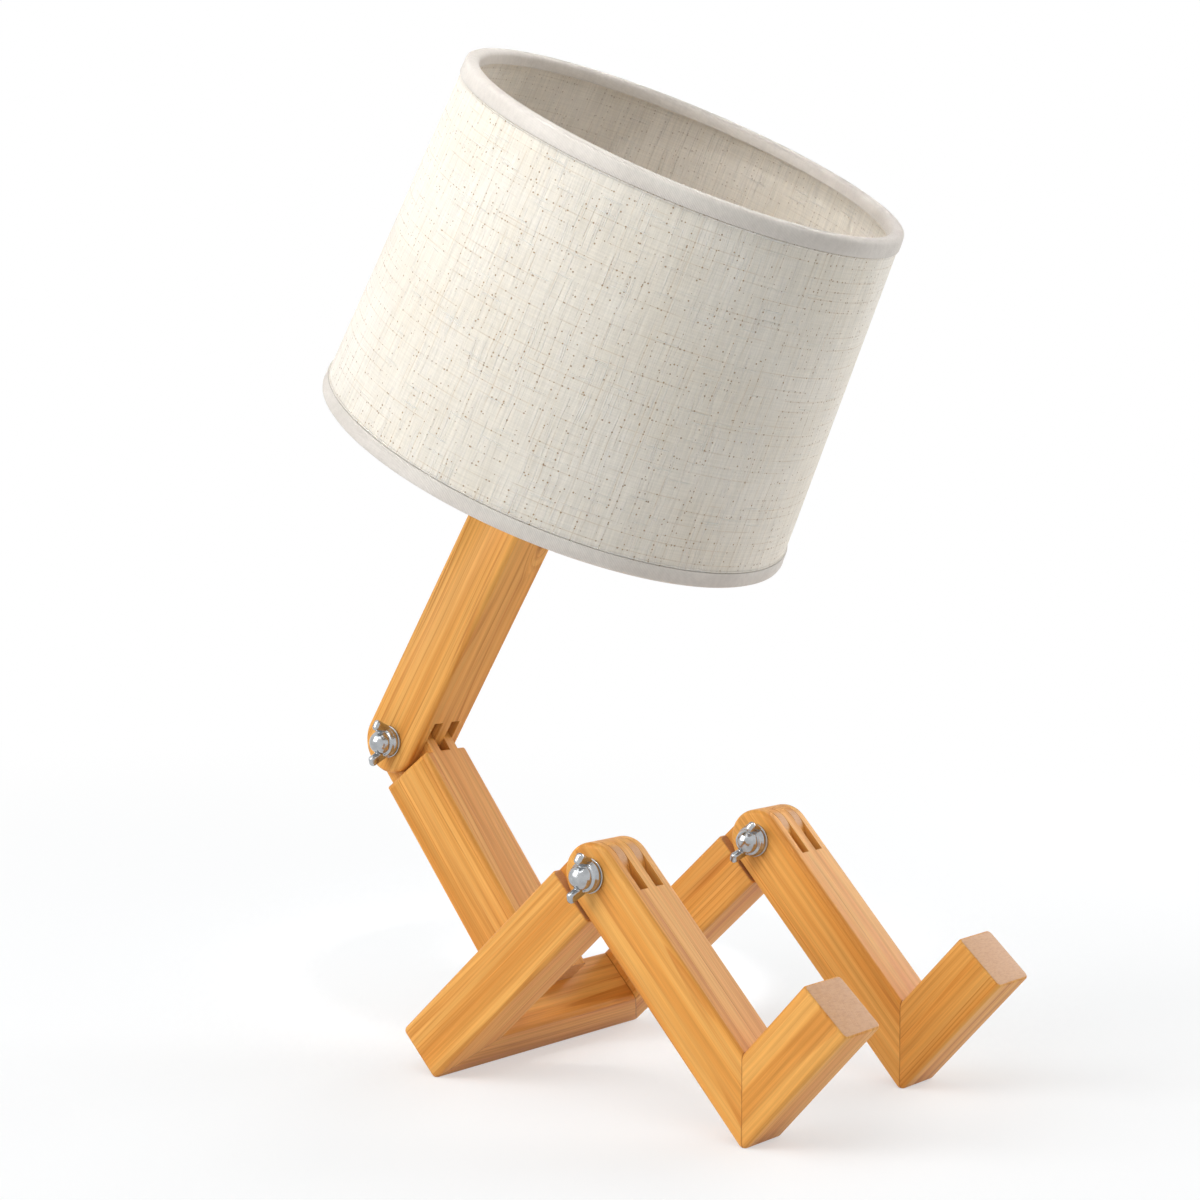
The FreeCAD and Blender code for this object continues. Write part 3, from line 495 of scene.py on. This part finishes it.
# Wood
def make_wood():
    aside = Vector((THIGH_X, 0, 0))
    heel_line = (side_way(SHIN) + side_way(FOOT)).normalized()
    thigh_way = side_way(THIGH)
    frame_up = side_way(THIGH + 90)
    rail_middle = HIP_EDGE + (thigh_way + frame_up) * (BEAM / 2)
    heel_middle = HEEL + side_way(FOOT + 90) * (BEAM / 2)
    hip_left = (HIP_EDGE + Vector((HALF_WIDTH, 0, 0)), Vector((1, 0, 0)) + thigh_way)
    hip_right = (HIP_EDGE - Vector((HALF_WIDTH, 0, 0)), Vector((-1, 0, 0)) + thigh_way)
    heel = (HEEL, heel_line)
    rail_knots = (((4, 12.5, 2.0), 1.6), ((26, 12.5, -3.5), 1.2))
    neck_knot = ((112, 6.0, -14.0), 3.0)
    way = {angle: (side_way(angle), side_way(angle + 90)) for angle in (SHIN, FOOT, SPINE, NECK)}
    way[THIGH] = (thigh_way, frame_up)
    for node, body, start, (along, up), seed, knots, seams in (
        ("hip_rail", "seat", rail_middle, (Vector((1, 0, 0)), frame_up), 1.3, rail_knots,
         (hip_left, hip_right)),
        ("thigh_right", "seat", rail_middle - aside, way[THIGH], 2.1, (), (hip_right,)),
        ("thigh_left", "seat", rail_middle + aside, way[THIGH], 3.7, (), (hip_left,)),
        ("spine", "seat", WAIST_PIN, way[SPINE], 4.4, (), ()),
        ("shin_right", "leg_right", KNEE_PIN - aside, way[SHIN], 5.9, (), (heel,)),
        ("shin_left", "leg_left", KNEE_PIN + aside, way[SHIN], 6.2, (), (heel,)),
        ("foot_right", "leg_right", heel_middle - aside, way[FOOT], 7.5, (), (heel,)),
        ("foot_left", "leg_left", heel_middle + aside, way[FOOT], 8.8, (), (heel,)),
        ("neck", "head", WAIST_PIN, way[NECK], 9.6, (neck_knot,), ()),
    ):
        from_solid(node, wood("wood_" + node, start, along, up, seed, knots, seams), body)


# Hinge hardware
WASHER_THICK = 1.2
HARDWARE_STEPS = 72

# Half outline of a wing nut above its washer: flange, collar lip and dome
NUT_OUTLINE = (
    (0, 0), (6.4, 0), (6.7, 0.3), (6.7, 1.0), (6.6, 1.5), (6.3, 2.1), (6.1, 2.7), (5.95, 3.2),
    (5.6, 3.5), (5.1, 3.55), (4.95, 3.75), (5.05, 4.2), (4.95, 5.0), (4.6, 6.05), (4.0, 7.05),
    (3.1, 7.9), (2.0, 8.5), (0.9, 8.76), (0, 8.8),
)
# A wing's block, and its root and tip as radius and height above the washer
WING_SIZE = (9.4, 3.5, 4.5)
WING_SHIFT = 3.9
WING_ROOT = (5.1, 1.4)
WING_TIP = (8.0, 8.0)
WING_ROUND = 1.45


def wing_mesh(side):
    """One wing, flared from the flange's rim, on the given side of the nut."""
    wing = bmesh.new()
    bmesh.ops.create_cube(wing, size=1.0)
    bmesh.ops.scale(wing, vec=[size * MM for size in WING_SIZE], verts=wing.verts)
    bmesh.ops.translate(wing, vec=(WING_SHIFT * MM, 0, 0), verts=wing.verts)
    for vert in wing.verts:
        if vert.co.x > 0:
            vert.co.z *= 1.06
            vert.co.y *= 0.94
    round_edges(wing, wing.edges[:], WING_ROUND, 5)
    lean = math.atan2(WING_TIP[1] - WING_ROOT[1], WING_TIP[0] - WING_ROOT[0])
    root = Matrix.Translation((WING_ROOT[0] * MM, 0, (WASHER_THICK + WING_ROOT[1]) * MM))
    set_in(wing, Matrix.Rotation(side, 4, "Z") @ root @ Matrix.Rotation(-lean, 4, "Y"))
    mesh = bpy.data.meshes.new("wing")
    wing.to_mesh(mesh)
    wing.free()
    return mesh


def wing_nut(node, body, x, pin, angle, metal):
    """Forged wing nut: turned hub and dome with two flared wings, blended into one skin."""
    hub = lathe([(radius, WASHER_THICK + height) for radius, height in NUT_OUTLINE],
                HARDWARE_STEPS)
    for side in (0.0, math.pi):
        wing = wing_mesh(side)
        hub.from_mesh(wing)
        bpy.data.meshes.remove(wing)
    spin = Matrix.Rotation(math.radians(angle - 90), 4, Vector((-1, 0, 0)))
    lie = Matrix.Rotation(math.radians(-90), 4, "Y")
    set_in(hub, Matrix.Translation((x, pin.y, pin.z)) @ spin @ lie)
    piece = shape_of(node + "_forged", hub, metal, body, (node,))
    blend_skin(piece, 0.2 * MM, 3)


def blend_skin(piece, grain, rounds):
    """Join crossing shells into one skin, soften it, and keep the result in the mesh."""
    remesh = piece.modifiers.new("skin", "REMESH")
    remesh.mode = "VOXEL"
    remesh.voxel_size = grain
    remesh.use_smooth_shade = True
    soften = piece.modifiers.new("soften", "SMOOTH")
    soften.factor = 0.5
    soften.iterations = rounds
    graph = bpy.context.evaluated_depsgraph_get()
    made = bpy.data.meshes.new_from_object(piece.evaluated_get(graph), depsgraph=graph)
    piece.modifiers.clear()
    old = piece.data
    made.name = old.name
    piece.data = made
    for polygon in made.polygons:
        polygon.use_smooth = True
    bpy.data.meshes.remove(old)


# Hinges: joint, nut's body, beams' body, where the washer lies, pin, section, nut's angle
HINGES = (
    ("knee_{}_right", "nut_knee_right", "leg_right", -HALF_WIDTH, KNEE_PIN, 25.0, 77.0),
    ("knee_{}_left", "nut_knee_left", "leg_left", HALF_WIDTH - BEAM, KNEE_PIN, 25.0, 60.0),
    ("waist_{}", "nut_waist", "head", -TORSO_BEAM / 2, WAIST_PIN, 28.0, 82.0),
)
BOLT_RADIUS = 3.0
BOLT_TIP = 6.2
WASHER_BORE, WASHER_RADIUS = 3.08, 7.0

# Half outline of the carriage bolt's domed head, below the beams' far face
BOLT_HEAD = (
    (7.0, 0), (6.9, 0.5), (6.3, 1.3), (5.3, 2.1), (3.9, 2.75), (2.2, 3.12), (0, 3.2),
)


def make_hardware():
    plate = bright_metal("zinc_plate", (0.50, 0.51, 0.52), 0.26)
    forged = bright_metal("wing_nut_plate", (0.46, 0.475, 0.49), 0.17)
    for joint, nut_body, body, x, pin, section, angle in HINGES:
        wing_nut(joint.format("wing_nut"), nut_body, x, pin, angle, forged)
    for joint, nut_body, body, x, pin, section, angle in HINGES:
        place = hinge_place(x, pin)
        washer = lathe([
            (WASHER_BORE, 0), (WASHER_RADIUS, 0), (WASHER_RADIUS, WASHER_THICK),
            (WASHER_BORE, WASHER_THICK),
        ], HARDWARE_STEPS)
        limit = math.radians(25.0)
        rims = [edge for edge in washer.edges if edge.calc_face_angle(0.0) > limit]
        round_edges(washer, rims, 0.3, 3)
        name = joint.format("washer")
        shape_of(name + "_pressed", set_in(washer, place), plate, body, (name,))
        bolt = lathe([
            (0, BOLT_TIP), (2.6, BOLT_TIP), (BOLT_RADIUS, 5.8), (BOLT_RADIUS, -section),
            *((radius, -section - depth) for radius, depth in BOLT_HEAD),
        ], HARDWARE_STEPS)
        name = joint.format("bolt")
        shape_of(name + "_turned", set_in(bolt, place), plate, body, (name,))
    from_solid("hip_screws", plate, "seat")


# Shade
def wall(height):
    """Outer radius of the shade at a height above its lower edge, in millimetres."""
    return FOOT_RADIUS - (FOOT_RADIUS - TOP_RADIUS) * height / SHADE_HEIGHT


def cloth_map(piece):
    """UV in metres: round the shade, measured at mid-height, and up along the profile."""
    mesh = piece.data
    back = SHADE_PLACE.inverted()
    layer = mesh.uv_layers.new(name="Cloth")
    girth = (FOOT_RADIUS + TOP_RADIUS) / 2 * MM
    for polygon in mesh.polygons:
        corners = [back @ mesh.vertices[index].co for index in polygon.vertices]
        centre = sum(corners, Vector()) / len(corners)
        middle = math.atan2(centre.x, -centre.y)
        for index, corner in zip(polygon.loop_indices, corners):
            angle = math.atan2(corner.x, -corner.y)
            angle += TURN * round((middle - angle) / TURN)
            radius = math.hypot(corner.x, corner.y)
            up = corner.z + (FOOT_RADIUS * MM - radius)
            layer.data[index].uv = (angle * girth, up)


def turned_cloth(name, node, profile, smooth, finish):
    """Piece of the shade turned from its outline, with the cloth's own UV."""
    work = set_in(lathe(profile, SHADE_STEPS), SHADE_PLACE)
    cloth_map(shape_of(name, work, finish, "head", (node,) if node else (), smooth))


def drum(name, node, outer_gap, thickness, low, high, finish):
    """Cloth wall of the shade as a closed shell with rows of faces up it."""
    rows = 24
    inner = []
    outer = []
    for row in range(rows + 1):
        height = low + (high - low) * row / rows
        outer.append((wall(height) - outer_gap, SHADE_FOOT + height))
        inner.append((wall(height) - outer_gap - thickness, SHADE_FOOT + height))
    turned_cloth(name, node, outer + inner[::-1], 35.0, finish)


def band(name, node, top, finish):
    """Tape folded over a rim and its wire: a rolled edge with a turned-in face."""
    rim = SHADE_HEIGHT if top else 0.0
    way = -1.0 if top else 1.0
    walls = CLOTH + GLUE + LINING
    inner = wall(rim + way * HOOP_DEPTH) - walls - HOOP_GAP - HOOP_WIRE - TAPE_GAP
    outer = wall(rim) + TAPE_GAP

    def at(radius, depth):
        return (radius, SHADE_FOOT + rim + way * depth)

    def on_wall(depth, off):
        return wall(rim + way * depth) + off

    profile = [
        at(on_wall(6.0, TAPE_GAP), 6.0),
        at(on_wall(6.0, 0.50), 6.05),
        at(on_wall(5.6, 0.66), 5.7),
        at(on_wall(3.0, 0.64), 3.0),
        at(outer + TAPE, 1.0),
        at(outer + TAPE - 0.25, 0.1),
        at(outer + TAPE - 0.95, -0.45),
        at(outer - 1.3, -0.62),
        at(inner + 1.4, -0.62),
        at(inner + 0.35, -0.45),
        at(inner - TAPE + 0.25, 0.1),
        at(inner - TAPE, 1.0),
        at(inner - TAPE, 4.2),
        at(inner - TAPE + 0.1, 4.55),
        at(inner, 4.6),
        at(inner, 0.5),
        at(inner + 0.6, -0.12),
        at(outer - 0.6, -0.12),
        at(outer, 0.5),
    ]
    if top:
        profile = profile[::-1]
    turned_cloth(name, node, profile, 60.0, finish)


def hem(name, top, finish):
    """Thin folded hem of the linen that shows beside the tape."""
    middle = SHADE_HEIGHT - 6.55 if top else 6.55
    profile = []
    for step in range(8):
        turn = TURN * step / 8
        radius = wall(middle) + 0.05 + 0.30 * math.cos(turn)
        profile.append((radius, SHADE_FOOT + middle + 0.42 * math.sin(turn)))
    turned_cloth(name, None, profile, 80.0, finish)


def make_shade():
    outside = linen("cream_linen", (0.800, 0.737, 0.645), (0.762, 0.692, 0.590), 1.0)
    inside = linen("beige_lining", (0.870, 0.790, 0.680), (0.845, 0.760, 0.640), 0.55)
    tape = trim_tape("grey_trim_tape")
    drum("shade_linen", "shade_fabric", 0.0, CLOTH, 0.0, SHADE_HEIGHT, outside)
    drum("shade_lining_cloth", "shade_lining", CLOTH + GLUE, LINING, 0.3, SHADE_HEIGHT - 0.3,
         inside)
    band("top_trim_tape", "top_trim", True, tape)
    band("bottom_trim_tape", "bottom_trim", False, tape)
    hem("top_hem", True, outside)
    hem("bottom_hem", False, outside)
    wire = moulded("white_wire_coat", (0.80, 0.79, 0.76), 0.35)
    for node in ("shade_spider", "shade_top_hoop", "shade_bottom_hoop"):
        from_solid(node, wire, "head", 50.0)


# Lampholder and bulb
def make_lamp_parts():
    phenolic = moulded("black_phenolic", (0.030, 0.028, 0.027), 0.38)
    ceramic = moulded("white_insulator", (0.80, 0.79, 0.76), 0.3)
    brass = bright_metal("brass", (0.72, 0.52, 0.22), 0.3)
    steel = bright_metal("steel_tube", (0.56, 0.57, 0.58), 0.3)
    silver = bright_metal("rolled_aluminium", (0.72, 0.72, 0.72), 0.32)
    shell = moulded("bulb_body_plastic", (0.84, 0.84, 0.82), 0.3)
    opal = Finish("opal_globe", Roughness=0.35, Coat_Weight=0.6, Coat_Roughness=0.1)
    cloud = opal.noise(opal.add("TexCoord").outputs["Object"], 45.0)
    opal.paint(opal.mix(opal.ease(cloud, 0.3, 0.7), (0.86, 0.85, 0.82), (0.92, 0.91, 0.88)))
    for node, finish in (
        ("holder_cap", phenolic), ("holder_barrel", phenolic), ("ring_nut", phenolic),
        ("holder_core", ceramic), ("screw_shell", brass), ("centre_contact", brass),
        ("lamp_nipple", steel), ("nipple_nut", steel),
    ):
        from_solid(node, finish, "head")
    from_solid("switch_knob", phenolic, "switch")
    from_solid("bulb_cap", silver, "bulb")
    from_solid("bulb_body", shell, "bulb", 40.0)
    from_solid("bulb_globe", opal.material, "bulb", 40.0)


# Studio
def make_floor():
    """White floor that is lit near the lamp and fades into the room's own white."""
    floor_work = bmesh.new()
    bmesh.ops.create_circle(floor_work, cap_ends=True, radius=9.0, segments=96)
    floor_mesh = bpy.data.meshes.new("floor")
    floor_work.to_mesh(floor_mesh)
    floor_work.free()
    floor = bpy.data.objects.new("floor", floor_mesh)
    bpy.context.scene.collection.objects.link(floor)
    f = Finish("pale_floor", Roughness=0.95, Specular_IOR_Level=0.0)
    f.skin.inputs["Base Color"].default_value = (0.93, 0.95, 0.965, 1)
    away = f.vector("LENGTH", f.add("TexCoord").outputs["Object"]).outputs["Value"]
    path = f.add("LightPath").outputs
    mirrored = f.most(path["Is Glossy Ray"], path["Is Transmission Ray"])
    seen = f.most(path["Is Camera Ray"], mirrored)
    glow = f.add("Emission", {"Color": (1, 1, 1, 1), "Strength": 1.0})
    share = f.times(f.ease(away, 0.10, 1.05, 0.5, 1.0), seen)
    both = f.add("MixShader", {0: share, 1: f.skin.outputs[0], 2: glow.outputs[0]})
    out = f.tree.nodes["Material Output"]
    f.wire(both.outputs[0], out.inputs["Surface"])
    floor_mesh.materials.append(f.material)


def make_room():
    """Soft even room: dimmer where it lights the lamp, white where it is seen."""
    world = bpy.data.worlds.new("studio")
    bpy.context.scene.world = world
    world.use_nodes = True
    nodes, links = world.node_tree.nodes, world.node_tree.links
    room = nodes["Background"]
    white = nodes.new("ShaderNodeBackground")
    for sky, strength in ((room, 0.42), (white, 1.0)):
        sky.inputs["Color"].default_value = (1, 1, 1, 1)
        sky.inputs["Strength"].default_value = strength
    rays = nodes.new("ShaderNodeLightPath").outputs
    shown = rays["Is Camera Ray"]
    for kind in ("Is Glossy Ray", "Is Transmission Ray"):
        either = nodes.new("ShaderNodeMath")
        either.operation = "MAXIMUM"
        links.new(shown, either.inputs[0])
        links.new(rays[kind], either.inputs[1])
        shown = either.outputs[0]
    blend = nodes.new("ShaderNodeMixShader")
    for source, socket in zip((shown, room.outputs[0], white.outputs[0]), blend.inputs):
        links.new(source, socket)
    links.new(blend.outputs[0], nodes["World Output"].inputs["Surface"])


def make_lights():
    middle = Vector((0, 0, 0.2))
    mouth = SHADE_PLACE @ Vector((0, 0, (SHADE_FOOT + 0.62 * SHADE_HEIGHT) * MM))
    for name, place, aim, size, power, spread in (
        ("key", (-1.7, 0.9, 1.0), middle, 1.3, 25.0, math.pi),
        ("edge", (1.6, -0.45, 0.7), middle, 1.2, 19.0, math.pi),
        ("top", (-0.8, 0.0, 2.0), middle, 1.6, 11.5, math.pi),
        ("into_shade", mouth + Vector((-0.50, -0.36, 1.05)), mouth, 0.10, 0.085,
         math.radians(16)),
    ):
        lamp = bpy.data.lights.new(name, "AREA")
        lamp.size = size
        lamp.energy = power
        lamp.spread = spread
        light = bpy.data.objects.new(name, lamp)
        light.location = place
        light.rotation_euler = (aim - Vector(place)).to_track_quat("-Z", "Y").to_euler()
        bpy.context.scene.collection.objects.link(light)


# From the middle of the knee axis to the camera, and how the camera is turned, in degrees
CAMERA_REACH = Vector((-0.853175, -0.601813, 0.181551))
CAMERA_ROUND, CAMERA_DOWN, CAMERA_ROLL = -52.6, 4.36, 1.2


def make_camera():
    lens = bpy.data.cameras.new("camera")
    lens.lens = 78.0
    lens.sensor_width = 36.0
    camera = bpy.data.objects.new("camera", lens)
    turn = Matrix.Rotation(math.radians(CAMERA_ROUND), 4, "Z")
    turn = turn @ Matrix.Rotation(math.radians(90 - CAMERA_DOWN), 4, "X")
    turn = turn @ Matrix.Rotation(math.radians(CAMERA_ROLL), 4, "Z")
    camera.matrix_world = Matrix.Translation(KNEE_PIN + CAMERA_REACH) @ turn
    bpy.context.scene.collection.objects.link(camera)
    bpy.context.scene.camera = camera


bpy.context.scene.view_settings.view_transform = "Standard"
make_camera()
make_wood()
make_hardware()
make_shade()
make_lamp_parts()
make_floor()
make_room()
make_lights()
